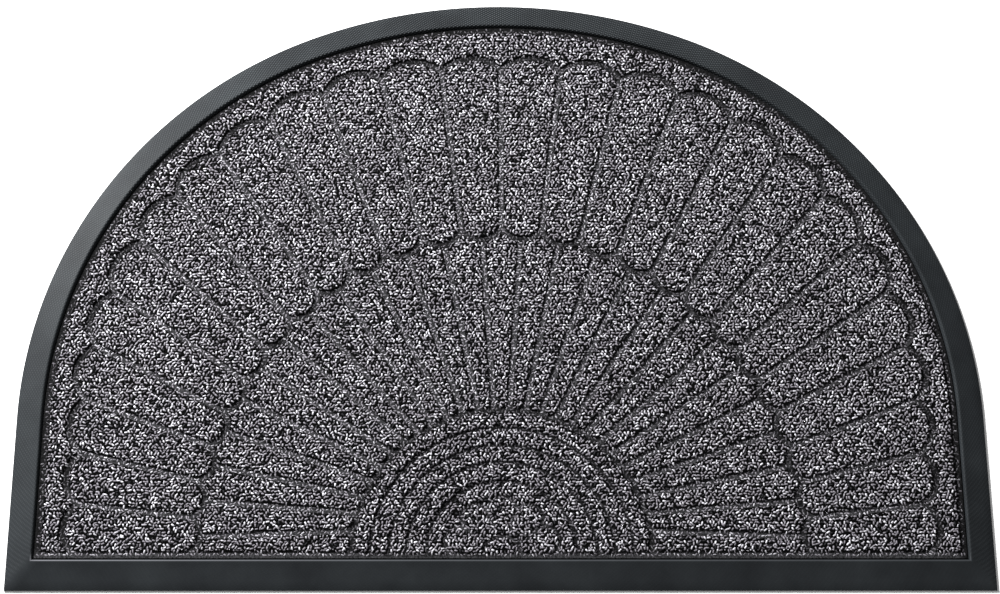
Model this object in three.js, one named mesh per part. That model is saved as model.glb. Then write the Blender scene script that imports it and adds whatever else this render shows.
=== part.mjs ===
// Half-round entrance mat: a moulded rubber base with a bevelled border, and a needled
// carpet inlay pressed with a fan of round-ended petals.
// Millimetres, +Z up. The straight edge is at the front (-Y), and the origin lies under
// the middle of the mat, on the surface that it rests on.

import * as THREE from 'three';
import { mergeVertices } from 'three/addons/utils/BufferGeometryUtils.js';

// Whole mat. The arch has two haunch arcs and one flatter crown arc, tangent to each other
// and to the straight sides.
const matWidth = 900;
const matDepth = 590;
const haunchRadius = 423;
const crownRadius = 498;
const arcStep = THREE.MathUtils.degToRad(2.9);

// Rubber border. Each width runs from the outer edge to the crest.
const archBorder = 22.8;
const frontBorder = 26;
const crestHeight = 7;
const pocketFloor = 2.5;
const pieceGap = 0.3;
const wallRun = 2.3;

// One row for each line that runs round the rubber, from the floor up over the crest and
// down to the pocket. The inset is measured from the outer edge for a row with base
// 'edge', and from the crest for a row with base 'crest'.
const borderProfile = [
  { base: 'edge', inset: 0, height: 0 },
  { base: 'edge', inset: 0, height: 1 },
  { base: 'edge', inset: 0.6, height: 1.5 },
  { base: 'crest', inset: -1.6, height: crestHeight - 0.3 },
  { base: 'crest', inset: -0.5, height: crestHeight },
  { base: 'crest', inset: 0.4, height: crestHeight - 0.1 },
  { base: 'crest', inset: 0.9, height: crestHeight - 0.8 },
  { base: 'crest', inset: wallRun, height: pocketFloor },
];

// Carpet inlay: a thin pressed sheet whose field stands up in pads, with the grooves of
// the fan between them. The field starts a little inside the sheet's edge.
const carpetInset = wallRun + pieceGap;
const carpetUnderside = pocketFloor + pieceGap;
const grooveFloor = 4.5;
const pileHeight = 6.4;
const archStrip = 3.3;
const frontStrip = 3.9;
const halfFloor = 2.1;
const halfGroove = 3.3;

// Fan. Its centre lies on the front edge of the field. The long outer petals end in
// scallops that follow the arch, and the inner petals start half a petal round from them.
const petals = 26;
const petalAngle = Math.PI / petals;
const fanCentreY = frontBorder + carpetInset + frontStrip;
const scallopInset = 49.5;
const scallopRise = 13.5;
const crownDip = 9;
const crownDipSpread = THREE.MathUtils.degToRad(13);
const middleRing = { halfWidth: 275.5, height: 308, rise: 11.5 };
const innerFocus = 27;
const innerRing = { radius: 136.5, rise: 5.5 };

// Medallion inside the fan: plain half rings round a small fan of lobes
const medallionRings = [120, 103, 87, 69];
const lobes = { count: 5, foot: 18, shoulder: 44, tip: 55 };

// Heights of extra points on the straight sides, level with the first cusps of the fan
const sideStops = [1, 2].map((i) => {
  const fieldSide = matWidth / 2 - archBorder - carpetInset - archStrip;
  return fanCentreY + fieldSide * Math.tan(i * petalAngle);
});

// Segments of each round run of a groove
const scallopSteps = 8;
const middleSteps = 8;
const innerSteps = 4;
const lobeSteps = 6;
const ringSegment = 10;

function around(x, y, radius, angle) {
  return new THREE.Vector2(x + radius * Math.cos(angle), y + radius * Math.sin(angle));
}

// Points of the arch, counter-clockwise from the left front corner
function archPoints(archInset, frontInset) {
  const side = matWidth / 2 - archInset;
  const haunchX = matWidth / 2 - haunchRadius;
  const radiusStep = crownRadius - haunchRadius;
  const joinAngle = Math.acos(haunchX / radiusStep);
  const crownY = matDepth - crownRadius;
  const haunchY = crownY + radiusStep * Math.sin(joinAngle);
  const arcs = [
    { x: haunchX, y: haunchY, radius: haunchRadius, from: 0, to: joinAngle },
    { x: 0, y: crownY, radius: crownRadius, from: joinAngle, to: Math.PI - joinAngle },
    { x: -haunchX, y: haunchY, radius: haunchRadius, from: Math.PI - joinAngle, to: Math.PI },
  ];
  const points = [new THREE.Vector2(-side, frontInset)];
  points.push(...[frontInset, ...sideStops].map((y) => new THREE.Vector2(side, y)));
  arcs.forEach((arc, index) => {
    const steps = 2 * Math.round((arc.to - arc.from) / arcStep / 2);
    for (let i = index === 0 ? 0 : 1; i <= steps; i += 1) {
      const angle = THREE.MathUtils.lerp(arc.from, arc.to, i / steps);
      points.push(around(arc.x, arc.y, arc.radius - archInset, angle));
    }
  });
  points.push(...sideStops.toReversed().map((y) => new THREE.Vector2(-side, y)));
  return points;
}

// Adds a band of triangles between two closed rings that have the same number of points.
// The inner ring is the one to the left of the way round.
function addBand(faces, outer, inner) {
  outer.forEach((point, i) => {
    const next = (i + 1) % outer.length;
    faces.push(point, outer[next], inner[next]);
    faces.push(point, inner[next], inner[i]);
  });
}

// Adds a flat fan of triangles over a ring, round its middle
function addFan(faces, ring, middle, up) {
  ring.forEach((point, i) => {
    const next = ring[(i + 1) % ring.length];
    faces.push(...(up ? [middle, point, next] : [middle, next, point]));
  });
}

// Plan points lifted to a height
function atHeight(points, height) {
  return points.map((p) => new THREE.Vector3(p.x, p.y, height));
}

// Closed geometry from the corners of its triangles
function closedGeometry(faces) {
  const geometry = new THREE.BufferGeometry().setFromPoints(faces);
  return mergeVertices(geometry);
}

// Rubber base, with the pocket for the carpet
function rubberGeometry() {
  const rings = borderProfile.map((row) => {
    const crest = row.base === 'crest' ? 1 : 0;
    const plan = archPoints(crest * archBorder + row.inset, crest * frontBorder + row.inset);
    return atHeight(plan, row.height);
  });
  const faces = [];
  addFan(faces, rings[0], new THREE.Vector3(0, fanCentreY, 0), false);
  for (let i = 1; i < rings.length; i += 1) {
    addBand(faces, rings[i - 1], rings[i]);
  }
  addFan(faces, rings.at(-1), new THREE.Vector3(0, matDepth / 2, pocketFloor), true);
  return closedGeometry(faces);
}

// Point of the fan at an angle and a distance from its centre
function fanPoint(angle, radius) {
  return around(0, fanCentreY, radius, angle);
}

// Where a ray from the fan's centre meets the arch inset by so much
function archReach(angle, inset) {
  const direction = new THREE.Vector2(Math.cos(angle), Math.sin(angle));
  const centre = new THREE.Vector2(0, fanCentreY);
  const points = archPoints(inset, 0).map((p) => p.sub(centre));
  for (let i = 1; i < points.length; i += 1) {
    const next = points[(i + 1) % points.length];
    const before = direction.cross(points[i]);
    const after = direction.cross(next);
    if (before <= 0 && after > 0) {
      return points[i].clone().lerp(next, before / (before - after)).length();
    }
  }
  return 0;
}

// Distance to the scallops, which stand a little lower round the axis than at the sides
function scallopReach(angle, depth) {
  const fromAxis = (angle - Math.PI / 2) / crownDipSpread;
  return archReach(angle, scallopInset + crownDip * Math.exp(-fromAxis * fromAxis) + depth);
}

// Distance to the ring between the two rows of petals, half an ellipse
function middleReach(angle) {
  return 1 / Math.hypot(Math.cos(angle) / middleRing.halfWidth, Math.sin(angle) / middleRing.height);
}

// Points of the arc from one end through a tip above the middle of its chord
function arcThrough(start, tip, end, steps) {
  const chord = end.clone().sub(start);
  const halfChord = chord.length() / 2;
  const foot = start.clone().lerp(end, 0.5);
  const across = new THREE.Vector2(-chord.y, chord.x).normalize();
  const sagitta = tip.clone().sub(foot).dot(across);
  const radius = (halfChord * halfChord + sagitta * sagitta) / (2 * sagitta);
  const centre = foot.clone().addScaledVector(across, sagitta - radius);
  const fromCentre = start.clone().sub(centre);
  const sweep = -2 * Math.asin(halfChord / radius);
  const points = [start];
  for (let i = 1; i < steps; i += 1) {
    const angle = (sweep * i) / steps;
    points.push(fromCentre.clone().rotateAround(new THREE.Vector2(), angle).add(centre));
  }
  points.push(end);
  return points;
}

// Where a straight run first comes within so much of the fan's centre
function meetCircle(start, end, radius) {
  const run = end.clone().sub(start);
  const offset = start.clone().sub(fanPoint(0, 0));
  const a = run.lengthSq();
  const b = offset.dot(run);
  const c = offset.lengthSq() - radius * radius;
  return start.clone().addScaledVector(run, (-b - Math.sqrt(b * b - a * c)) / a);
}

// Half ring of the medallion, from right to left
function halfRing(radius) {
  const steps = Math.round((radius * Math.PI) / ringSegment);
  return Array.from({ length: steps + 1 }, (_, i) => fanPoint((Math.PI * i) / steps, radius));
}

// Joins runs of points into one ring, and leaves out points met twice
function joinRuns(...runs) {
  return runs.flat().filter((p, i, all) => p !== all[(i + 1) % all.length]);
}

// Cells of the field, each the ring of groove middles round one pad, counter-clockwise
function fieldCells() {
  const cells = [];
  const rightToLeft = Array.from({ length: petals + 1 }, (_, i) => i * petalAngle);
  const cuspRadius = innerRing.radius + innerRing.rise;
  const focus = fanPoint(Math.PI / 2, innerFocus);
  const outerCusps = rightToLeft.map((angle) => fanPoint(angle, scallopReach(angle, scallopRise)));
  const middleCusps = rightToLeft.map((angle) => fanPoint(angle, middleReach(angle) + middleRing.rise));
  const scallops = [];
  const middleArcs = [];
  const innerEnds = [fanPoint(0, cuspRadius)];

  // Outer petals
  for (let i = 0; i < petals; i += 1) {
    const middle = rightToLeft[i] + petalAngle / 2;
    const crown = fanPoint(middle, scallopReach(middle, 0));
    const tip = fanPoint(middle, middleReach(middle));
    const scallop = arcThrough(outerCusps[i], crown, outerCusps[i + 1], scallopSteps);
    const middleArc = arcThrough(middleCusps[i], tip, middleCusps[i + 1], middleSteps);
    scallops.push(scallop);
    middleArcs.push(middleArc);
    innerEnds.push(meetCircle(middleArc[middleSteps / 2], focus, cuspRadius));
    cells.push({ ring: joinRuns(scallop, middleArc.toReversed()) });
  }
  innerEnds.push(fanPoint(Math.PI, cuspRadius));

  // Inner petals, with a half one at each end of the fan
  const innerArcs = [];
  for (let i = 0; i <= petals; i += 1) {
    const right = innerEnds[i];
    const left = innerEnds[i + 1];
    const between = right.clone().add(left).multiplyScalar(0.5).sub(fanPoint(0, 0));
    const innerArc = arcThrough(right, fanPoint(between.angle(), innerRing.radius), left, innerSteps);
    const rightHalf = i > 0 ? middleArcs[i - 1].slice(middleSteps / 2) : [];
    const leftHalf = i < petals ? middleArcs[i].slice(0, middleSteps / 2 + 1) : [];
    innerArcs.push(innerArc);
    cells.push({ ring: joinRuns(rightHalf, leftHalf, innerArc.toReversed()) });
  }

  // Margin between the scallops and the arch
  const [leftCorner, ...archEdge] = fieldRing();
  archEdge.push(leftCorner);
  cells.push({ ring: joinRuns(archEdge, scallops.flat().toReversed()), archCount: archEdge.length });

  // Half rings of the medallion
  const rings = medallionRings.map(halfRing);
  cells.push({ ring: joinRuns(innerArcs.flat(), rings[0].toReversed()) });
  for (let i = 1; i < rings.length; i += 1) {
    cells.push({ ring: joinRuns(rings[i - 1], rings[i].toReversed()) });
  }

  // Small fan of lobes
  const lobeAngle = Math.PI / lobes.count;
  const lobeEdges = Array.from({ length: lobes.count + 1 }, (_, i) => i * lobeAngle);
  const feet = lobeEdges.map((angle) => fanPoint(angle, lobes.foot));
  const shoulders = lobeEdges.map((angle) => fanPoint(angle, lobes.shoulder));
  const lobeArcs = [];
  for (let i = 0; i < lobes.count; i += 1) {
    const tip = fanPoint(lobeEdges[i] + lobeAngle / 2, lobes.tip);
    const lobeArc = arcThrough(shoulders[i], tip, shoulders[i + 1], lobeSteps);
    lobeArcs.push(lobeArc);
    cells.push({ ring: joinRuns(lobeArc, [feet[i + 1], feet[i]]) });
  }
  cells.push({ ring: joinRuns(rings.at(-1), lobeArcs.flat().toReversed()) });
  cells.push({ ring: feet });
  return cells;
}

// Edge of the field along the arch, from the left front corner to the right one and round
function fieldRing() {
  return archPoints(archBorder + carpetInset + archStrip, fanCentreY);
}

// Ring of points moved inwards by so much, square to each side
function insetRing(ring, distance) {
  return ring.map((point, i) => {
    const before = point.clone().sub(ring[(i + ring.length - 1) % ring.length]).normalize();
    const after = ring[(i + 1) % ring.length].clone().sub(point).normalize();
    const inwards = new THREE.Vector2(-before.y - after.y, before.x + after.x).normalize();
    const toSide = inwards.dot(new THREE.Vector2(-after.y, after.x));
    return point.clone().addScaledVector(inwards, distance / toSide);
  });
}

// Triangles over the top of a pad, as indices of its ring. The long margin is first cut
// across from each cusp to the arch point beside it.
function padTop(plan, archCount) {
  if (!archCount) {
    return THREE.ShapeUtils.triangulateShape(plan, []);
  }
  const centre = fanPoint(0, 0);
  const archAngles = plan.slice(0, archCount).map((p) => p.clone().sub(centre).angle());
  const last = plan.length - 1;
  const triangles = [];
  let stop = 0;
  for (let i = 1; i <= petals; i += 1) {
    const offsets = archAngles.map((angle) => Math.abs(angle - i * petalAngle));
    const nextStop = offsets.indexOf(Math.min(...offsets));
    const indices = [];
    for (let k = stop; k <= nextStop; k += 1) {
      indices.push(k);
    }
    for (let k = last - i * scallopSteps; k <= last - (i - 1) * scallopSteps; k += 1) {
      indices.push(k);
    }
    for (const corners of THREE.ShapeUtils.triangulateShape(indices.map((k) => plan[k]), [])) {
      triangles.push(corners.map((corner) => indices[corner]));
    }
    stop = nextStop;
  }
  return triangles;
}

// Carpet: the pressed sheet, and a pad on each cell of its field
function carpetGeometry() {
  const faces = [];
  const cells = fieldCells();
  for (const { ring, archCount } of cells) {
    const foot = atHeight(insetRing(ring, halfFloor), grooveFloor);
    const topPlan = insetRing(ring, halfGroove);
    const top = atHeight(topPlan, pileHeight);
    addBand(faces, atHeight(ring, grooveFloor), foot);
    addBand(faces, foot, top);
    for (const corners of padTop(topPlan, archCount)) {
      faces.push(...corners.map((corner) => top[corner]));
    }
  }

  // The sheet's edge has a point beside each point of the field's edge
  const onFront = (p) => Math.abs(p.y - fanCentreY) < 1e-6;
  const frontPoints = cells.flatMap((cell) => cell.ring).filter(onFront);
  const frontStops = [...new Set(frontPoints)].sort((a, b) => a.x - b.x);
  const archEdge = fieldRing().slice(2);
  const fieldEdge = [...frontStops, ...archEdge];
  const sheetCorners = archPoints(archBorder + carpetInset, frontBorder + carpetInset);
  const [leftCorner, rightCorner] = sheetCorners;
  const sheetFront = frontStops.map((p, i) => {
    const share = i / (frontStops.length - 1);
    const isEnd = share === 0 || share === 1;
    const x = isEnd ? THREE.MathUtils.lerp(leftCorner.x, rightCorner.x, share) : p.x;
    return new THREE.Vector2(x, leftCorner.y);
  });
  const sheetEdge = [...sheetFront, ...sheetCorners.slice(2)];
  const sheetTop = atHeight(sheetEdge, grooveFloor);
  const sheetUnder = atHeight(sheetEdge, carpetUnderside);
  addBand(faces, sheetTop, atHeight(fieldEdge, grooveFloor));
  addBand(faces, sheetUnder, sheetTop);
  addFan(faces, sheetUnder, new THREE.Vector3(0, matDepth / 2, carpetUnderside), false);
  return closedGeometry(faces);
}

const rubberMaterial = new THREE.MeshStandardMaterial({ color: 0x3d4042, roughness: 0.72, metalness: 0 });
const carpetMaterial = new THREE.MeshStandardMaterial({ color: 0x5b5b5e, roughness: 0.95, metalness: 0 });

const rubberBase = new THREE.Mesh(rubberGeometry(), rubberMaterial);
rubberBase.name = 'rubber_base';

const carpetInlay = new THREE.Mesh(carpetGeometry(), carpetMaterial);
carpetInlay.name = 'carpet_inlay';

const part = new THREE.Group();
part.add(rubberBase, carpetInlay);
part.children.forEach((piece) => {
  piece.position.y = -matDepth / 2;
});

export default part;
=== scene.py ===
import math

import bmesh
import bpy
import numpy as np
from mathutils import Matrix, Vector
from mathutils.geometry import delaunay_2d_cdt
from mathutils.kdtree import KDTree


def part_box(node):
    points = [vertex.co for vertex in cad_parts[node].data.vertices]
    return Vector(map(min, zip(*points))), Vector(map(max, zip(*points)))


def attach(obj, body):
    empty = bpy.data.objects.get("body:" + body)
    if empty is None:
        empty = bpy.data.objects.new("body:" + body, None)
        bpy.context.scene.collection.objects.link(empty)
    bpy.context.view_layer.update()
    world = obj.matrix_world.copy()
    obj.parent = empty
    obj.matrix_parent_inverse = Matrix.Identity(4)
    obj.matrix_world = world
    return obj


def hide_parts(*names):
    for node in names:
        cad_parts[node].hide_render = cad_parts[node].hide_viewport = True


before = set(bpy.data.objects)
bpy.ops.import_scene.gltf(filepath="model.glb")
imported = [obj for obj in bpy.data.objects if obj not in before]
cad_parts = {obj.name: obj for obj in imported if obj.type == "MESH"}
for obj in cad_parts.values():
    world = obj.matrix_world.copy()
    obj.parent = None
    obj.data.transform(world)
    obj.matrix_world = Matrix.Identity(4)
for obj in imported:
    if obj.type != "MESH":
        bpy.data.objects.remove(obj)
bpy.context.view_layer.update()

mm = 0.001

baseLow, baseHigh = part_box("rubber_base")
inlayLow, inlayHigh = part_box("carpet_inlay")
print("frame loaded")

# the half-round plan, shared by the rubber and the carpet
plan = {
    "width": baseHigh[0] - baseLow[0],
    "depth": baseHigh[1] - baseLow[1],
    "frontY": baseLow[1],
    "haunchRadius": 423 * mm,
    "crownRadius": 498 * mm,
    "archBorder": 22.8 * mm,  # outer edge to crest
    "frontBorder": 26 * mm,
    "wallRun": 2.3 * mm,  # crest to the foot of the pocket wall
    "gap": 0.3 * mm,
    "archStrip": 3.3 * mm,  # carpet edge to the field
    "frontStrip": 3.9 * mm,
    "straightStep": 9 * mm,
    "arcStep": 1.2,  # degrees
}
carpetInset = plan["wallRun"] + plan["gap"]
fanCentreY = plan["frontY"] + plan["frontBorder"] + carpetInset + plan["frontStrip"]
frontSteps = round(plan["width"] / plan["straightStep"])
tiny = 1e-9

# the fan pressed into the carpet, with the number of steps in each of its arcs
fan = {
    "petals": 26,
    "scallopInset": 49.5 * mm,
    "scallopRise": 13.5 * mm,
    "scallopSteps": 14,
    "crownDip": 9 * mm,
    "crownDipSpread": math.radians(13),
    "ringHalfWidth": 275.5 * mm,
    "ringHeight": 308 * mm,
    "ringRise": 11.5 * mm,
    "ringSteps": 12,
    "innerFocus": 27 * mm,
    "innerRadius": 136.5 * mm,
    "innerRise": 5.5 * mm,
    "innerSteps": 8,
    "halfRings": [120 * mm, 103 * mm, 87 * mm, 69 * mm],
    "halfRingStep": 5 * mm,
    "lobes": 5,
    "lobeFoot": 18 * mm,
    "lobeShoulder": 44 * mm,
    "lobeTip": 55 * mm,
    "lobeSteps": 10,
}


def around(x, y, radius, angle):
    return np.array([x + radius * math.cos(angle), y + radius * math.sin(angle)])


def evenSteps(start, end, steps):
    return [start + (end - start) * i / steps for i in range(steps)]


# closed ring of the arch, counter-clockwise from the left front corner; the same number
# of points for every inset
def archRing(archInset, frontInset):
    halfWidth = plan["width"] / 2
    side = halfWidth - archInset
    front = plan["frontY"] + frontInset
    haunchX = halfWidth - plan["haunchRadius"]
    radiusStep = plan["crownRadius"] - plan["haunchRadius"]
    joinAngle = math.acos(haunchX / radiusStep)
    crownY = plan["frontY"] + plan["depth"] - plan["crownRadius"]
    haunchY = crownY + radiusStep * math.sin(joinAngle)
    sideSteps = round((haunchY - plan["frontY"]) / plan["straightStep"])
    corners = [np.array(p) for p in ((-side, front), (side, front), (side, haunchY), (-side, haunchY))]
    points = evenSteps(corners[0], corners[1], frontSteps) + evenSteps(corners[1], corners[2], sideSteps)
    for x, y, radius, start, end in (
        (haunchX, haunchY, plan["haunchRadius"], 0, joinAngle),
        (0, crownY, plan["crownRadius"], joinAngle, math.pi - joinAngle),
        (-haunchX, haunchY, plan["haunchRadius"], math.pi - joinAngle, math.pi),
    ):
        steps = 2 * round(math.degrees(end - start) / plan["arcStep"] / 2)
        points += [around(x, y, radius - archInset, a) for a in evenSteps(start, end, steps)]
    points += evenSteps(corners[3], corners[0], sideSteps)
    return np.array(points)


def fanPoint(angle, radius):
    return around(0, fanCentreY, radius, angle)


# distance from the fan's centre to the arch inset by so much
def archReach(angle, inset):
    direction = np.array([math.cos(angle), math.sin(angle)])
    ring = archRing(inset, 0) - fanPoint(0, 0)
    nextRing = np.roll(ring, -1, axis=0)
    before = direction[0] * ring[:, 1] - direction[1] * ring[:, 0]
    after = direction[0] * nextRing[:, 1] - direction[1] * nextRing[:, 0]
    hit = np.nonzero((before <= 0) & (after > 0))[0][0]
    share = before[hit] / (before[hit] - after[hit])
    return np.linalg.norm(ring[hit] + (nextRing[hit] - ring[hit]) * share)


def scallopReach(angle, depth):
    fromAxis = (angle - math.pi / 2) / fan["crownDipSpread"]
    return archReach(angle, fan["scallopInset"] + fan["crownDip"] * math.exp(-fromAxis * fromAxis) + depth)


def ringReach(angle):
    return 1 / math.hypot(math.cos(angle) / fan["ringHalfWidth"], math.sin(angle) / fan["ringHeight"])


# points of the arc from one end through a tip over the middle of its chord
def arcThrough(start, tip, end, steps):
    chord = end - start
    halfChord = np.linalg.norm(chord) / 2
    foot = (start + end) / 2
    across = np.array([-chord[1], chord[0]]) / (2 * halfChord)
    sagitta = (tip - foot) @ across
    radius = (halfChord ** 2 + sagitta ** 2) / (2 * sagitta)
    centre = foot + across * (sagitta - radius)
    offset = start - centre
    startAngle = math.atan2(offset[1], offset[0])
    sweep = -2 * math.asin(halfChord / radius)
    points = [around(*centre, abs(radius), startAngle + sweep * i / steps) for i in range(1, steps)]
    return [start, *points, end]


# straight run cut into short pieces
def straight(start, end, step=8 * mm):
    steps = max(1, round(np.linalg.norm(end - start) / step))
    return [*evenSteps(start, end, steps), end]


def meetCircle(start, end, radius):
    run = end - start
    offset = start - fanPoint(0, 0)
    a = run @ run
    b = offset @ run
    c = offset @ offset - radius ** 2
    return start + run * (-b - math.sqrt(b * b - a * c)) / a


# arcs that meet end to end, as one line of points
def chain(arcs):
    return [p for arc in arcs for p in arc[:-1]] + [arcs[-1][-1]]


# cells of the field, each the ring of groove middles round one raised pad, counter-clockwise:
# outer petals, inner petals, and the margin outside the scallops
def petalCells():
    cells = []
    petals = fan["petals"]
    petalAngle = math.pi / petals
    angles = [i * petalAngle for i in range(petals + 1)]
    cuspRadius = fan["innerRadius"] + fan["innerRise"]
    focus = fanPoint(math.pi / 2, fan["innerFocus"])
    outerCusps = [fanPoint(a, scallopReach(a, fan["scallopRise"])) for a in angles]
    ringCusps = [fanPoint(a, ringReach(a) + fan["ringRise"]) for a in angles]
    innerEnds = [fanPoint(0, cuspRadius)]
    half = fan["ringSteps"] // 2
    scallops, ringArcs, innerArcs = [], [], []
    for i in range(petals):
        middle = angles[i] + petalAngle / 2
        scallopTip = fanPoint(middle, scallopReach(middle, 0))
        scallop = arcThrough(outerCusps[i], scallopTip, outerCusps[i + 1], fan["scallopSteps"])
        ringTip = fanPoint(middle, ringReach(middle))
        ringArc = arcThrough(ringCusps[i], ringTip, ringCusps[i + 1], fan["ringSteps"])
        scallops.append(scallop)
        ringArcs.append(ringArc)
        innerEnds.append(meetCircle(ringArc[half], focus, cuspRadius))
        left = straight(outerCusps[i + 1], ringCusps[i + 1])
        right = straight(ringCusps[i], outerCusps[i])
        cells.append(scallop[:-1] + left[:-1] + ringArc[::-1][:-1] + right[:-1])
    innerEnds.append(fanPoint(math.pi, cuspRadius))
    innerSides = [straight(ringCusps[0], innerEnds[0])]
    innerSides += [straight(ringArcs[i][half], innerEnds[i + 1]) for i in range(petals)]
    innerSides += [straight(ringCusps[-1], innerEnds[-1])]
    for i in range(petals + 1):
        right, left = innerEnds[i], innerEnds[i + 1]
        between = (right + left) / 2 - fanPoint(0, 0)
        middle = math.atan2(between[1], between[0])
        innerArc = arcThrough(right, fanPoint(middle, fan["innerRadius"]), left, fan["innerSteps"])
        innerArcs.append(innerArc)
        outer = ringArcs[i - 1][half:] if i > 0 else []
        outer = outer[:-1] + ringArcs[i][:half + 1] if i < petals else outer
        cells.append(outer[:-1] + innerSides[i + 1][:-1] + innerArc[::-1][:-1] + innerSides[i][::-1][:-1])
    archRun = list(np.roll(fieldRing(), -1, axis=0))[frontSteps - 1:]
    outerChain = chain(scallops)
    leftFront = straight(archRun[-1], outerChain[-1])
    rightFront = straight(outerChain[0], archRun[0])
    cells.append(archRun[:-1] + leftFront[:-1] + outerChain[::-1][:-1] + rightFront[:-1])
    return cells, chain(innerArcs)


# the cells inside the inner petals: half rings, then the small fan of lobes
def medallionCells(smallEnds):
    cells, halfRings, lobeArcs = [], [], []
    for radius in fan["halfRings"]:
        steps = round(radius * math.pi / fan["halfRingStep"])
        halfRings.append([fanPoint(math.pi * i / steps, radius) for i in range(steps + 1)])
    for outer, inner in zip([smallEnds] + halfRings[:-1], halfRings):
        across = straight(outer[-1], inner[-1])
        back = straight(inner[0], outer[0])
        cells.append(outer[:-1] + across[:-1] + inner[::-1][:-1] + back[:-1])
    lobeAngle = math.pi / fan["lobes"]
    edges = [i * lobeAngle for i in range(fan["lobes"] + 1)]
    feet = [fanPoint(a, fan["lobeFoot"]) for a in edges]
    shoulders = [fanPoint(a, fan["lobeShoulder"]) for a in edges]
    for i in range(fan["lobes"]):
        tip = fanPoint(edges[i] + lobeAngle / 2, fan["lobeTip"])
        lobeArc = arcThrough(shoulders[i], tip, shoulders[i + 1], fan["lobeSteps"])
        lobeArcs.append(lobeArc)
        cells.append(lobeArc[:-1] + [shoulders[i + 1], feet[i + 1], feet[i]])
    cells.append(halfRings[-1] + chain(lobeArcs)[::-1])
    cells.append(feet)
    return cells


def fieldCells():
    cells, smallEnds = petalCells()
    return [np.array(cell) for cell in cells + medallionCells(smallEnds)]


# edge of the raised field
def fieldRing():
    inset = plan["archBorder"] + carpetInset + plan["archStrip"]
    return archRing(inset, fanCentreY - plan["frontY"])


def carpetRing():
    return archRing(plan["archBorder"] + carpetInset, plan["frontBorder"] + carpetInset)


# ring moved inwards, square to each of its sides
def insetRing(ring, distance):
    before = ring - np.roll(ring, 1, axis=0)
    after = np.roll(ring, -1, axis=0) - ring
    before /= np.linalg.norm(before, axis=1, keepdims=True)
    after /= np.linalg.norm(after, axis=1, keepdims=True)
    both = before + after
    inwards = np.stack([-both[:, 1], both[:, 0]], axis=1)
    inwards /= np.linalg.norm(inwards, axis=1, keepdims=True)
    toSide = inwards[:, 1] * after[:, 0] - inwards[:, 0] * after[:, 1]
    return ring + inwards * (distance / toSide)[:, None]


# points close together along the groove middles, for finding the nearest, and how far the
# groove runs across the fan there: 0 for the spokes, 1 for the scallops and rings
def grooveTree(cells, step=0.4 * mm):
    points, across = [], []
    for cell in cells:
        for point, after in zip(cell, np.roll(cell, -1, axis=0)):
            run = after - point
            spoke = (point + after) / 2 - fanPoint(0, 0)
            steps = max(1, round(np.linalg.norm(run) / step))
            points += evenSteps(point, after, steps)
            turned = abs(run[0] * spoke[1] - run[1] * spoke[0])
            across += [turned / max(np.linalg.norm(run) * np.linalg.norm(spoke), tiny)] * steps
    tree = KDTree(len(points))
    for number, point in enumerate(points):
        tree.insert((point[0], point[1], 0), number)
    tree.balance()
    return tree, np.array(across)


def grooveDistance(points, tree):
    return np.array([tree.find((x, y, 0))[2] for x, y in points])


# whether each point is inside a ring that bulges outwards everywhere
def insideRing(points, ring):
    runs = np.roll(ring, -1, axis=0) - ring
    inside = np.ones(len(points), bool)
    for start, run in zip(ring, runs):
        inside &= run[0] * (points[:, 1] - start[1]) - run[1] * (points[:, 0] - start[0]) > -tiny
    return inside


def deselectAll():
    if bpy.context.mode != "OBJECT":
        bpy.ops.object.mode_set(mode="OBJECT")
    bpy.ops.object.select_all(action="DESELECT")


def faceOutwards(piece):
    deselectAll()
    piece.select_set(True)
    bpy.context.view_layer.objects.active = piece
    bpy.ops.object.mode_set(mode="EDIT")
    bpy.ops.mesh.select_all(action="SELECT")
    bpy.ops.mesh.normals_make_consistent(inside=False)
    bpy.ops.object.mode_set(mode="OBJECT")


def meshPiece(name, vertices, faces):
    mesh = bpy.data.meshes.new(name)
    mesh.from_pydata([tuple(v) for v in vertices], [], [tuple(f) for f in faces])
    mesh.validate()
    piece = bpy.data.objects.new(name, mesh)
    bpy.context.scene.collection.objects.link(piece)
    return piece


# materials

def colour(hexValue):
    channels = [int(hexValue[i:i + 2], 16) / 255 for i in (1, 3, 5)]
    linear = [c / 12.92 if c <= 0.04045 else ((c + 0.055) / 1.055) ** 2.4 for c in channels]
    return (*linear, 1.0)


def newMaterial(name):
    material = bpy.data.materials.new(name)
    material.use_nodes = True
    shader = material.node_tree.nodes["Principled BSDF"]
    return material, material.node_tree, shader


# adds a node with its settings, and links each named input to an output or sets its value
def addNode(tree, kind, settings=None, inputs=None):
    node = tree.nodes.new(kind)
    for key, value in (settings or {}).items():
        setattr(node, key, value)
    for key, value in (inputs or {}).items():
        if isinstance(value, bpy.types.NodeSocket):
            tree.links.new(value, node.inputs[key])
        else:
            node.inputs[key].default_value = value
    return node


def setRamp(node, stops):
    ramp = node.color_ramp
    while len(ramp.elements) < len(stops):
        ramp.elements.new(0.5)
    for element, (position, shade) in zip(ramp.elements, stops):
        element.position = position
        element.color = shade


bandLength = 0.314  # metres, of the wave texture at scale 1

# moulded nitrile rubber, black with a little grey bloom: dull, with a soft wide highlight
# and a fine crossed knurl from the mould; painted shade between the knurl's points and painted highlight on
# them, and a painted highlight on the front crest
rubberLook = {
    "deep": "#1b1d1f",
    "bloom": "#26292b",
    "bloomSize": 60 * mm,
    "bloomRange": (0.3, 0.75),  # of the noise, from deep to bloom
    # paler colour of the scuffed crest: a painted highlight
    "scuffedHighlight": "#5a5b5f",
    "knurlPaintedLight": (0.6, 2.8),  # painted shade between the knurl's points and painted highlight on them, as scales of tint and gloss
    "plainShade": 1.2,  # scale of tint and gloss where there is no knurl, so without the knurl's painted light and shade
    "roughness": 0.49,
    "scuffedRoughness": 0.4,
    "gloss": 0.046,
    "knurlPitch": 2.9 * mm,
    "knurlDepth": 0.5 * mm,
    "grainSize": 0.5 * mm,
    "grainDepth": 0.05 * mm,
}


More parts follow.
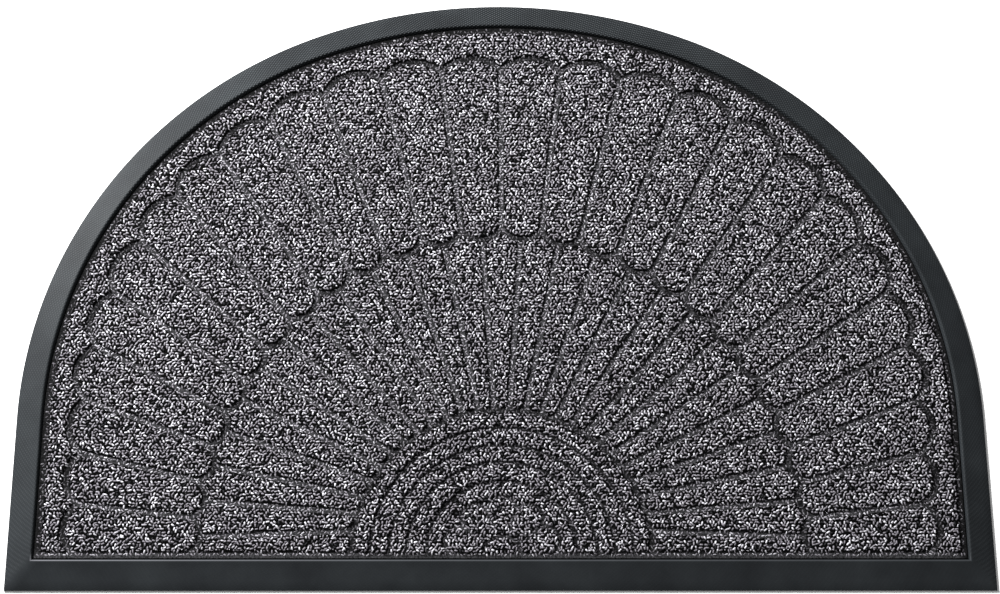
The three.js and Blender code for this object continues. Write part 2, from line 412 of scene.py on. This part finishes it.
def rubberMaterial():
    look = rubberLook
    material, tree, shader = newMaterial("nitrileRubberMoulded")
    place = addNode(tree, "ShaderNodeTexCoord")
    along = addNode(tree, "ShaderNodeUVMap", {"uv_map": "border"})
    scuffAndHighlight = addNode(tree, "ShaderNodeAttribute", {"attribute_name": "scuffAndHighlight"})
    pattern = addNode(tree, "ShaderNodeAttribute", {"attribute_name": "knurl"})
    patches = addNode(tree, "ShaderNodeTexNoise", None,
                      {"Vector": place.outputs["Object"], "Scale": 1 / look["bloomSize"],
                       "Detail": 5.0, "Roughness": 0.6})
    tint = addNode(tree, "ShaderNodeValToRGB", None, {"Fac": patches.outputs["Fac"]})
    setRamp(tint, list(zip(look["bloomRange"], (colour(look["deep"]), colour(look["bloom"])))))
    polish = addNode(tree, "ShaderNodeMapRange", None,
                     {"Value": scuffAndHighlight.outputs["Fac"], "To Min": look["roughness"],
                      "To Max": look["scuffedRoughness"]})
    tree.links.new(polish.outputs["Result"], shader.inputs["Roughness"])
    heights = []
    for turn in (45, -45):
        turned = addNode(tree, "ShaderNodeMapping", None,
                         {"Vector": along.outputs["UV"], "Rotation": (0, 0, math.radians(turn))})
        bands = addNode(tree, "ShaderNodeTexWave", {"wave_type": "BANDS", "bands_direction": "X"},
                        {"Vector": turned.outputs["Vector"], "Scale": bandLength / look["knurlPitch"]})
        heights.append(bands.outputs["Fac"])
    crossed = addNode(tree, "ShaderNodeMath", {"operation": "MULTIPLY"}, {0: heights[0], 1: heights[1]})
    points = addNode(tree, "ShaderNodeMapRange", None,
                     {"Value": crossed.outputs[0], "To Min": look["knurlPaintedLight"][0],
                      "To Max": look["knurlPaintedLight"][1]})
    # painted knurl light: tint and gloss darker between the points, lighter on them
    knurlLight = addNode(tree, "ShaderNodeMix", {"data_type": "FLOAT"},
                   {"Factor": pattern.outputs["Fac"], "A": look["plainShade"],
                    "B": points.outputs["Result"]})
    knurlLitTint = addNode(tree, "ShaderNodeVectorMath", {"operation": "SCALE"},
                     {0: tint.outputs["Color"], "Scale": knurlLight.outputs["Result"]})
    # scuffed crest: lower roughness from wear, and a paler colour as a painted highlight
    wornHighlight = addNode(tree, "ShaderNodeMix", {"data_type": "RGBA"}, {"Factor": scuffAndHighlight.outputs["Fac"]})
    tree.links.new(knurlLitTint.outputs["Vector"], wornHighlight.inputs[6])
    wornHighlight.inputs[7].default_value = colour(look["scuffedHighlight"])
    tree.links.new(wornHighlight.outputs[2], shader.inputs["Base Color"])
    gloss = addNode(tree, "ShaderNodeMath", {"operation": "MULTIPLY"},
                    {0: knurlLight.outputs["Result"], 1: look["gloss"]})
    tree.links.new(gloss.outputs[0], shader.inputs["Specular IOR Level"])
    grain = addNode(tree, "ShaderNodeTexNoise", None,
                    {"Vector": place.outputs["Object"], "Scale": 1 / look["grainSize"], "Detail": 2.0})
    knurl = addNode(tree, "ShaderNodeBump", None,
                    {"Height": crossed.outputs[0], "Distance": look["knurlDepth"],
                     "Strength": pattern.outputs["Fac"]})
    fine = addNode(tree, "ShaderNodeBump", None,
                   {"Height": grain.outputs["Fac"], "Distance": look["grainDepth"], "Strength": 0.5,
                    "Normal": knurl.outputs["Normal"]})
    tree.links.new(fine.outputs["Normal"], shader.inputs["Normal"])
    return material


# polypropylene loop pile in two yarns, near black and pale grey: dry; bright loop crowns
# over dark gaps, with painted shade towards the loops' feet and on the groove walls, and painted light and
# shade on the groove floors
pileLook = {
    "dark": "#242426",
    "middle": "#78757b",
    "pale": "#d0cfd5",
    "darkShare": 0.12,  # of the loops
    "darkEnds": (0.5, 1.2),  # of that share, where dark ends and middle is reached
    "paleShare": 0.4,
    "gapShade": 0.03,  # painted shade at the foot of a standing loop, of its crown's brightness
    "pressedShade": 0.42,  # painted shade at the foot of a pressed one
    "crownRange": (0.25, 0.85),  # height at which the painted shade on a loop starts to lift and is gone
    "pressedMatting": 0.42,  # how far the press evens out the two yarns
    "strandWidth": 0.6 * mm,
    "strandDepth": 0.12 * mm,
    "roughness": 0.85,
    "gloss": 0.02,
}


def pileMaterial():
    look = pileLook
    material, tree, shader = newMaterial("polypropyleneLoopPile")
    yarn = addNode(tree, "ShaderNodeAttribute", {"attribute_name": "yarn"})
    place = addNode(tree, "ShaderNodeTexCoord")
    tint = addNode(tree, "ShaderNodeValToRGB", None, {"Fac": yarn.outputs["Fac"]})
    darkEnd, middleStart = (look["darkShare"] * end for end in look["darkEnds"])
    setRamp(tint, [
        (darkEnd, colour(look["dark"])),
        (middleStart, colour(look["middle"])),
        (1 - look["paleShare"], colour(look["middle"])),
        (1.0, colour(look["pale"])),
    ])
    strands = addNode(tree, "ShaderNodeTexNoise", None,
                      {"Vector": place.outputs["Object"], "Scale": 1 / look["strandWidth"], "Detail": 2.0})
    paintedShadeHeight = addNode(tree, "ShaderNodeAttribute", {"attribute_name": "paintedShadeHeight"})
    pressed = addNode(tree, "ShaderNodeAttribute", {"attribute_name": "pressed"})
    matting = addNode(tree, "ShaderNodeMath", {"operation": "MULTIPLY"},
                      {0: pressed.outputs["Fac"], 1: look["pressedMatting"]})
    matted = addNode(tree, "ShaderNodeMix", {"data_type": "RGBA"}, {"Factor": matting.outputs[0]})
    tree.links.new(tint.outputs["Color"], matted.inputs[6])
    matted.inputs[7].default_value = colour(look["middle"])
    # painted shade towards the loops' feet, weaker where they are pressed
    gap = addNode(tree, "ShaderNodeMapRange", None,
                  {"Value": pressed.outputs["Fac"], "To Min": look["gapShade"],
                   "To Max": look["pressedShade"]})
    depth = addNode(tree, "ShaderNodeMapRange", None,
                    {"Value": paintedShadeHeight.outputs["Fac"], "From Min": look["crownRange"][0],
                     "From Max": look["crownRange"][1], "To Min": gap.outputs["Result"]})
    # painted light on the spoke floors, painted shade on the cross floors and the margin
    lit = addNode(tree, "ShaderNodeAttribute", {"attribute_name": "lit"})
    total = addNode(tree, "ShaderNodeMath", {"operation": "MULTIPLY"},
                    {0: depth.outputs["Result"], 1: lit.outputs["Fac"]})
    shade = addNode(tree, "ShaderNodeVectorMath", {"operation": "SCALE"},
                    {0: matted.outputs[2], "Scale": total.outputs[0]})
    tree.links.new(shade.outputs["Vector"], shader.inputs["Base Color"])
    shader.inputs["Roughness"].default_value = look["roughness"]
    shader.inputs["Specular IOR Level"].default_value = look["gloss"]
    bump = addNode(tree, "ShaderNodeBump", None,
                   {"Height": strands.outputs["Fac"], "Distance": look["strandDepth"], "Strength": 0.6})
    tree.links.new(bump.outputs["Normal"], shader.inputs["Normal"])
    return material


# the carpet's fused ground: matted fibre, grey where the press has flattened it, near black
# under the loops as painted shade, and darker on the floors of the scallops and rings as painted shade
groundLook = {
    "pressed": "#151516",
    "pressedPale": "#3e3e40",
    "paleRange": (0.35, 0.7),  # of the noise, from the darker fibres to the paler
    # painted shade: near black under the loops
    "underPileShade": "#040404",
    "fibreSize": 1.6 * mm,  # coarser than the fibres, to show in the render
    "fibreDepth": 0.25 * mm,
    "roughness": 0.9,
    "gloss": 0.03,
}


def groundMaterial():
    look = groundLook
    material, tree, shader = newMaterial("fusedCarpetGround")
    place = addNode(tree, "ShaderNodeTexCoord")
    pressed = addNode(tree, "ShaderNodeAttribute", {"attribute_name": "pressed"})
    fibres = addNode(tree, "ShaderNodeTexNoise", None,
                     {"Vector": place.outputs["Object"], "Scale": 1 / look["fibreSize"], "Detail": 3.0})
    grey = addNode(tree, "ShaderNodeValToRGB", None, {"Fac": fibres.outputs["Fac"]})
    setRamp(grey, list(zip(look["paleRange"], (colour(look["pressed"]), colour(look["pressedPale"])))))
    mix = addNode(tree, "ShaderNodeMix", {"data_type": "RGBA"}, {"Factor": pressed.outputs["Fac"]})
    mix.inputs[6].default_value = colour(look["underPileShade"])
    tree.links.new(grey.outputs["Color"], mix.inputs[7])
    tree.links.new(mix.outputs[2], shader.inputs["Base Color"])
    shader.inputs["Roughness"].default_value = look["roughness"]
    shader.inputs["Specular IOR Level"].default_value = look["gloss"]
    bump = addNode(tree, "ShaderNodeBump", None,
                   {"Height": fibres.outputs["Fac"], "Distance": look["fibreDepth"], "Strength": 0.7})
    tree.links.new(bump.outputs["Normal"], shader.inputs["Normal"])
    return material


# rubber base; a row for each line round it gives the share of the border's width, the further
# inset and the height, both in millimetres
rubberBase = {
    "rows": [
        (0, 0, 0), (0, 0, 0.9), (0, 0.15, 1.25), (0, 0.6, 1.5),
        (0.33, 0, 3.22), (0.66, 0, 5.1),
        (1, -1.7, 6.65), (1, -1.0, 6.88), (1, -0.3, 7.0), (1, 0.4, 6.85), (1, 1.0, 6.4), (1, 1.4, 5.6),
        (1, 2.3, 2.5),
    ],
    "scuffAndHighlightRows": (9, 10),  # inner side of the crest, on the front run only: scuff with a painted highlight
    "scuffAndHighlightRight": 0.15,  # how strong the scuff and its painted highlight are at the right end, against 1 at the left
    "knurlFront": 0.04,  # strength of the knurl on the front run
    "knurlSides": 0.2,  # on the sides, up to knurlStartY; from there it grows to 1 at knurlTopY
    "knurlStartY": -100 * mm,
    "knurlTopY": 250 * mm,
    "smoothAngle": 35,  # degrees
}


def borderRing(share, inset):
    return archRing(share * plan["archBorder"] + inset * mm, share * plan["frontBorder"] + inset * mm)


# starts as a filled circle laid on the outline, then its face is drawn up row by row
def makeRubberBase():
    rows = rubberBase["rows"]
    rings = [borderRing(share, inset) for share, inset, height in rows]
    deselectAll()
    bpy.ops.mesh.primitive_circle_add(vertices=len(rings[0]), radius=1, fill_type="NGON")
    piece = bpy.context.object
    piece.name = "rubberBase"
    place = piece.data.attributes.new("place", "INT", "POINT")
    piece.data.attributes.new("row", "INT", "POINT")
    for number, point in enumerate(rings[0]):
        piece.data.vertices[number].co = (*point, rows[0][2] * mm)
        piece.data.attributes["place"].data[number].value = number
    bpy.ops.object.mode_set(mode="EDIT")
    bpy.ops.mesh.select_all(action="SELECT")
    for number in range(1, len(rows)):
        bpy.ops.mesh.extrude_region_move()
        mesh = bmesh.from_edit_mesh(piece.data)
        placeLayer = mesh.verts.layers.int["place"]
        rowLayer = mesh.verts.layers.int["row"]
        for vertex in mesh.verts:
            if vertex.select:
                vertex.co = (*rings[number][vertex[placeLayer]], rows[number][2] * mm)
                vertex[rowLayer] = number
        bmesh.update_edit_mesh(piece.data)
    bpy.ops.object.mode_set(mode="OBJECT")
    faceOutwards(piece)
    return piece


def addShare(piece, name, values):
    layer = piece.data.attributes.new(name, "FLOAT", "POINT")
    layer.data.foreach_set("value", np.asarray(values, dtype=np.float32))


def vertexNumbers(piece, name):
    values = np.zeros(len(piece.data.vertices), dtype=np.int32)
    piece.data.attributes[name].data.foreach_get("value", values)
    return values


# where the crest is scuffed and carries a painted highlight fading to the right, and how strongly the knurl
# shows
def markBorder(piece):
    base = rubberBase
    onFront = vertexNumbers(piece, "place") <= frontSteps
    scuffedHighlight = np.isin(vertexNumbers(piece, "row"), base["scuffAndHighlightRows"])
    upArch = np.array([vertex.co.y for vertex in piece.data.vertices]) - base["knurlStartY"]
    share = np.clip(upArch / (base["knurlTopY"] - base["knurlStartY"]), 0, 1)
    toLeft = 0.5 - np.array([vertex.co.x for vertex in piece.data.vertices]) / plan["width"]
    scuffAndHighlight = base["scuffAndHighlightRight"] + (1 - base["scuffAndHighlightRight"]) * toLeft ** 3
    knurl = base["knurlSides"] + (1 - base["knurlSides"]) * share ** 2
    addShare(piece, "scuffAndHighlight", (onFront & scuffedHighlight) * scuffAndHighlight)
    addShare(piece, "knurl", np.where(onFront, base["knurlFront"], knurl))


# border UV in metres: along the edge and up the bevel
def unwrapBorder(piece):
    rows = rubberBase["rows"]
    rings = [borderRing(share, inset) for share, inset, height in rows]
    middle = rings[len(rings) // 2]
    steps = np.linalg.norm(np.roll(middle, -1, axis=0) - middle, axis=1)
    along = np.concatenate([[0], np.cumsum(steps)])
    across = [0.0]
    for number in range(1, len(rows)):
        rise = (rows[number][2] - rows[number - 1][2]) * mm
        run = np.linalg.norm(rings[number][0] - rings[number - 1][0])
        across.append(across[-1] + math.hypot(rise, run))
    places = vertexNumbers(piece, "place")
    heights = vertexNumbers(piece, "row")
    layer = piece.data.uv_layers.new(name="border")
    for face in piece.data.polygons:
        wraps = len(face.vertices) == 4 and any(places[v] == len(middle) - 1 for v in face.vertices)
        for loop, vertex in zip(face.loop_indices, face.vertices):
            if len(face.vertices) > 4:
                layer.data[loop].uv = piece.data.vertices[vertex].co.xy
            else:
                number = len(middle) if wraps and places[vertex] == 0 else places[vertex]
                layer.data[loop].uv = (along[number], across[heights[vertex]])


# carpet sheet: groove section and heights above the floor
carpetSheet = {
    "underside": inlayLow[2],
    "floor": 4.5 * mm,
    "ground": 5.8 * mm,  # top of the pads under the loops
    "floorHalf": 2.0 * mm,
    "grooveHalf": 3.2 * mm,
    "padPoint": 9 * mm,  # apart, the points inside a pad
    "padClear": 1.6,  # of grooveHalf, their least distance from a groove's middle
    "edgeWidth": 0.5 * mm,  # the rounded edge
    "edgeDrop": 0.35 * mm,
    "weldWithin": 1e-6,  # metres
    "crossFloorShade": 0.8,  # painted shade: how much darker the floors of the scallops and rings are
}


def sheetHeight(points, tree):
    sheet = carpetSheet
    away = grooveDistance(points, tree)
    share = np.clip((away - sheet["floorHalf"]) / (sheet["grooveHalf"] - sheet["floorHalf"]), 0, 1)
    share = share * share * (3 - 2 * share)
    share[~insideRing(points, fieldRing())] = 0
    return sheet["floor"] + (sheet["ground"] - sheet["floor"]) * share, share


# points over the whole mat, every other row moved half a pitch along
def hexGrid(pitch):
    half = plan["width"] / 2
    rows = np.arange(plan["frontY"], plan["frontY"] + plan["depth"], pitch * math.sqrt(3) / 2)
    columns = np.arange(-half, half, pitch)
    return np.array([(x + (pitch / 2 if row % 2 else 0), y) for row, y in enumerate(rows) for x in columns])


# the points of the rings, each place once, and the edges between them by their numbers
def joinRings(rings):
    index, points, edges = {}, [], []
    for ring in rings:
        numbers = []
        for point in ring:
            key = (round(point[0], 6), round(point[1], 6))  # to a thousandth of a millimetre
            if key not in index:
                index[key] = len(points)
                points.append(Vector(point))
            numbers.append(index[key])
        edges += [(a, b) for a, b in zip(numbers, numbers[1:] + numbers[:1]) if a != b]
    return points, edges


# top from the edge, the grooves and points inside the pads, closed by a thin side and underside
def makeCarpetSheet(cells, tree, across):
    sheet = carpetSheet
    edge = carpetRing()
    rings = [edge, insetRing(edge, sheet["edgeWidth"])]
    wallMiddle = (sheet["floorHalf"] + sheet["grooveHalf"]) / 2
    for cell in cells:
        rings.append(cell)
        for offset in (sheet["floorHalf"], wallMiddle, sheet["grooveHalf"]):
            rings.append(insetRing(cell, offset))
    points, edges = joinRings(rings)
    fill = hexGrid(sheet["padPoint"])
    fill = fill[insideRing(fill, fieldRing())]
    fill = fill[grooveDistance(fill, tree) > sheet["padClear"] * sheet["grooveHalf"]]
    points += [Vector(p) for p in fill]
    flat, _, triangles, *_ = delaunay_2d_cdt(points, edges, [], 1, sheet["weldWithin"])
    plane = np.array([tuple(p) for p in flat])
    heights, share = sheetHeight(plane, tree)
    edgeNumbers = [int(np.argmin(((plane - p) ** 2).sum(axis=1))) for p in edge]
    heights[edgeNumbers] -= sheet["edgeDrop"]
    vertices = [(x, y, z) for (x, y), z in zip(plane, heights)]
    under = len(vertices)
    vertices += [(x, y, sheet["underside"]) for x, y in edge]
    faces = [tuple(f) for f in triangles]
    count = len(edge)
    for i in range(count):
        j = (i + 1) % count
        faces.append((under + i, under + j, edgeNumbers[j], edgeNumbers[i]))
    faces.append(tuple(under + i for i in range(count))[::-1])
    piece = meshPiece("carpetSheet", vertices, faces)
    pressed = np.ones(len(piece.data.vertices))
    crossing = across[[tree.find((x, y, 0))[1] for x, y in plane]]
    # painted shade on the floors of the scallops and rings, towards the near black of the ground under the
    # loops
    pressed[:len(share)] = (1 - share) * (1 - sheet["crossFloorShade"] * crossing ** 2)
    addShare(piece, "pressed", pressed)
    faceOutwards(piece)
    return piece


# loops of yarn: the size of one, and how the press has left them
pile = {
    "pitch": 3.4 * mm,
    "jitter": 0.27,  # of the pitch
    "length": 4.8 * mm,
    "width": 2.1 * mm,
    "rise": 2.0 * mm,
    "sizes": (0.85, 1.12),  # smallest and largest loop
    "seat": 4.9 * mm,  # height of the standing loops' feet
    "unevenSeat": 0.12 * mm,
    "edgeGap": 2.2 * mm,  # from the carpet's edge to the middle of a loop
    "wallFoot": 2.4 * mm,  # from the middle of a groove
    "wallTop": 3.3 * mm,
    "pressedRise": 0.3,  # of the standing loops' rise
    "pressedSeat": 4.12 * mm,
    "wallShade": 0.9,  # painted shade: how much darker the loops are half way up a groove's wall
    "medallionWidth": 0.55,  # width of the medallion's grooves, of the others'
    "medallionMargin": 5 * mm,  # how far past the outer half ring they reach
    "spokeLight": 1.25,  # painted light: brightness of the floors of the spokes
    "crossLight": 0.2,  # painted shade, of the scallops and rings
    # painted shadow of the border's wall over the pressed margin
    "marginLight": 0.6,
    "pieces": 5,
    "seed": 7,
}


# one loop, lying along X with its crown up; also how near each corner is to the crown, for the painted
# shade towards its feet
def makeLoop():
    deselectAll()
    bpy.ops.mesh.primitive_uv_sphere_add(segments=5, ring_count=3, radius=1)
    loop = bpy.context.object
    bpy.ops.object.mode_set(mode="EDIT")
    bpy.ops.mesh.select_all(action="SELECT")
    bpy.ops.transform.rotate(value=math.pi / 2, orient_axis="Y", center_override=(0, 0, 0))
    halfSize = (pile["length"] / 2, pile["width"] / 2, pile["rise"] / 2)
    bpy.ops.transform.resize(value=halfSize, center_override=(0, 0, 0))
    bpy.ops.mesh.quads_convert_to_tris()
    bpy.ops.object.mode_set(mode="OBJECT")
    vertices = np.array([tuple(vertex.co) for vertex in loop.data.vertices])
    along = vertices[:, 0] / (pile["length"] / 2)
    vertices[:, 2] += pile["rise"] / 2 * (1 - along ** 2)
    faces = np.array([tuple(face.vertices) for face in loop.data.polygons])
    bpy.data.objects.remove(loop, do_unlink=True)
    paintedShadeHeight = np.clip(vertices[:, 2] / vertices[:, 2].max(), 0, 1)
    return vertices, faces, paintedShadeHeight


# how far each point stands up out of the grooves and the pressed margin, from 0 to 1, and the
# painted light and shade of the pile there
def standingShare(points, tree, across):
    found = [tree.find((x, y, 0)) for x, y in points]
    away = np.array([nearest[2] for nearest in found])
    crossing = across[[nearest[1] for nearest in found]]
    medallion = fan["halfRings"][0] + pile["medallionMargin"]
    away[np.linalg.norm(points - fanPoint(0, 0), axis=1) < medallion] /= pile["medallionWidth"]
    share = np.clip((away - pile["wallFoot"]) / (pile["wallTop"] - pile["wallFoot"]), 0, 1)
    share = share * share * (3 - 2 * share)
    inField = insideRing(points, fieldRing())
    share[~inField] = 0
    # painted light on the spoke floors, painted shade on the scallop and ring floors
    floorLight = pile["spokeLight"] + (pile["crossLight"] - pile["spokeLight"]) * crossing ** 2
    lit = share + floorLight * (1 - share)
    lit[~inField] = pile["marginLight"]
    return share, lit


def joinLoops(name, loop, seats, tree, across, random):
    vertices, faces, paintedShadeHeight = loop
    total = len(seats)
    turn = random.uniform(0, math.pi, total)
    body = vertices[None] * random.uniform(*pile["sizes"], (total, 3))[:, None]
    cosine, sine = np.cos(turn)[:, None], np.sin(turn)[:, None]
    x = body[..., 0] * cosine - body[..., 1] * sine + seats[:, :1]
    y = body[..., 0] * sine + body[..., 1] * cosine + seats[:, 1:]
    share, lit = standingShare(np.stack([x, y], axis=2).reshape(-1, 2), tree, across)
    share = share.reshape(x.shape)
    rise = pile["pressedRise"] + (1 - pile["pressedRise"]) * share
    level = pile["pressedSeat"] + (pile["seat"] - pile["pressedSeat"]) * share
    z = body[..., 2] * rise + level + random.normal(0, pile["unevenSeat"], (total, 1)) * share
    places = np.stack([x, y, z], axis=2).reshape(-1, 3)
    corners = (faces[None] + np.arange(total)[:, None, None] * len(vertices)).reshape(-1, 3)
    mesh = bpy.data.meshes.new(name)
    mesh.vertices.add(len(places))
    mesh.vertices.foreach_set("co", places.astype(np.float32).ravel())
    mesh.loops.add(corners.size)
    mesh.loops.foreach_set("vertex_index", corners.astype(np.int32).ravel())
    mesh.polygons.add(len(corners))
    mesh.polygons.foreach_set("loop_start", np.arange(0, corners.size, 3, dtype=np.int32))
    mesh.polygons.foreach_set("use_smooth", np.ones(len(corners), dtype=bool))
    mesh.update(calc_edges=True)
    piece = bpy.data.objects.new(name, mesh)
    bpy.context.scene.collection.objects.link(piece)
    addShare(piece, "yarn", np.repeat(random.uniform(0, 1, total), len(vertices)))
    # painted shade on the loops half way up a groove's wall
    onWall = 4 * share * (1 - share)  # 1 half way up a groove's wall
    addShare(piece, "paintedShadeHeight", (paintedShadeHeight * (1 - pile["wallShade"] * onWall)).ravel())
    addShare(piece, "pressed", 1 - share.ravel())
    addShare(piece, "lit", lit)
    return piece


# copies of the loop on a loose grid, flattened in the grooves and round the edge, joined
# into a few pieces from left to right
def makePile(tree, across):
    loop = makeLoop()
    random = np.random.default_rng(pile["seed"])
    seats = hexGrid(pile["pitch"])
    seats += random.uniform(-pile["jitter"], pile["jitter"], seats.shape) * pile["pitch"]
    seats = seats[insideRing(seats, insetRing(carpetRing(), pile["edgeGap"]))]
    seats = seats[np.argsort(seats[:, 0], kind="stable")]
    print("loops", len(seats), "triangles", len(seats) * len(loop[1]))
    groups = np.array_split(seats, pile["pieces"])
    return [joinLoops(f"pileLoops{i + 1}", loop, group, tree, across, random)
            for i, group in enumerate(groups)]


def finishPiece(piece, material):
    piece.data.materials.clear()
    piece.data.materials.append(material)
    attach(piece, "root")


rubberPiece = makeRubberBase()
unwrapBorder(rubberPiece)
markBorder(rubberPiece)
deselectAll()
rubberPiece.select_set(True)
bpy.context.view_layer.objects.active = rubberPiece
bpy.ops.object.shade_smooth_by_angle(angle=math.radians(rubberBase["smoothAngle"]))
finishPiece(rubberPiece, rubberMaterial())
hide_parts("rubber_base")
print("rubber base made", len(rubberPiece.data.polygons))

cells = fieldCells()
tree, across = grooveTree(cells)
sheetPiece = makeCarpetSheet(cells, tree, across)
finishPiece(sheetPiece, groundMaterial())
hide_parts("carpet_inlay")
print("carpet sheet made", len(sheetPiece.data.polygons))

loopMaterial = pileMaterial()
loopPieces = makePile(tree, across)
for loopPiece in loopPieces:
    finishPiece(loopPiece, loopMaterial)
print("pile made")

sheetRing = carpetRing()

# plain studio: pale floor, a low soft key from behind on the left, weak fill all round
studio = {
    "floor": "#f7f7f7",
    "floorSize": 12,
    "floorDrop": 0.2 * mm,  # below the mat's underside, so that the two don't coincide
    "floorRoughness": 0.9,
    "keyPlace": (-1.5, 1.5, 1.2),
    "keySize": 0.4,
    "keyWatts": 222,
    "fillPlace": (1.5, -1.2, 2.5),
    "fillSize": 2.0,
    "fillWatts": 4,
    "sky": "#ffffff",
    "skyStrength": 0.3,
}


def makeStudio():
    deselectAll()
    bpy.ops.mesh.primitive_plane_add(size=studio["floorSize"], location=(0, 0, -studio["floorDrop"]))
    floor = bpy.context.object
    floor.name = "studioFloor"
    material, tree, shader = newMaterial("paleFloorPaint")
    shader.inputs["Base Color"].default_value = colour(studio["floor"])
    shader.inputs["Roughness"].default_value = studio["floorRoughness"]
    floor.data.materials.append(material)
    bpy.context.scene.view_settings.view_transform = "Standard"
    world = bpy.context.scene.world or bpy.data.worlds.new("studioWorld")
    bpy.context.scene.world = world
    world.use_nodes = True
    sky = world.node_tree.nodes["Background"]
    sky.inputs["Color"].default_value = colour(studio["sky"])
    sky.inputs["Strength"].default_value = studio["skyStrength"]
    for name, place, size, watts in (
        ("keyLight", studio["keyPlace"], studio["keySize"], studio["keyWatts"]),
        ("fillLight", studio["fillPlace"], studio["fillSize"], studio["fillWatts"]),
    ):
        lamp = bpy.data.lights.new(name, "AREA")
        lamp.size = size
        lamp.energy = watts
        light = bpy.data.objects.new(name, lamp)
        light.location = place
        light.rotation_euler = (Vector((0, 0, 0)) - Vector(place)).to_track_quat("-Z", "Y").to_euler()
        bpy.context.scene.collection.objects.link(light)


# camera, set up above the front edge and looking almost straight down
view = {
    "tilt": 19.71,  # degrees from straight down
    "yaw": -2.0,
    "roll": -0.16,
    "target": (-1.0 * mm, 282.7 * mm),  # from the middle of the front edge
    "distance": 2.038,
    "focalPixels": 2144.6,
    "frameWidth": 1000,
    "filmWidth": 36,
}


def makeCamera():
    camera = bpy.data.objects.new("photoCamera", bpy.data.cameras.new("photoCamera"))
    bpy.context.scene.collection.objects.link(camera)
    tilt, yaw, roll = (math.radians(view[key]) for key in ("tilt", "yaw", "roll"))
    back = Vector((math.sin(yaw) * math.sin(tilt), -math.cos(yaw) * math.sin(tilt), math.cos(tilt)))
    right = (-back).cross(Vector((0, 1, 0))).normalized()
    up = right.cross(-back)
    turnedRight = right * math.cos(roll) + up * math.sin(roll)
    turnedUp = up * math.cos(roll) - right * math.sin(roll)
    target = Vector((view["target"][0], plan["frontY"] + view["target"][1], 0))
    camera.matrix_world = Matrix.Translation(target + back * view["distance"]) @ Matrix(
        (turnedRight, turnedUp, back)).transposed().to_4x4()
    camera.data.sensor_width = view["filmWidth"]
    camera.data.lens = view["focalPixels"] / view["frameWidth"] * view["filmWidth"]
    bpy.context.scene.camera = camera


makeStudio()
makeCamera()
print("studio and camera made")
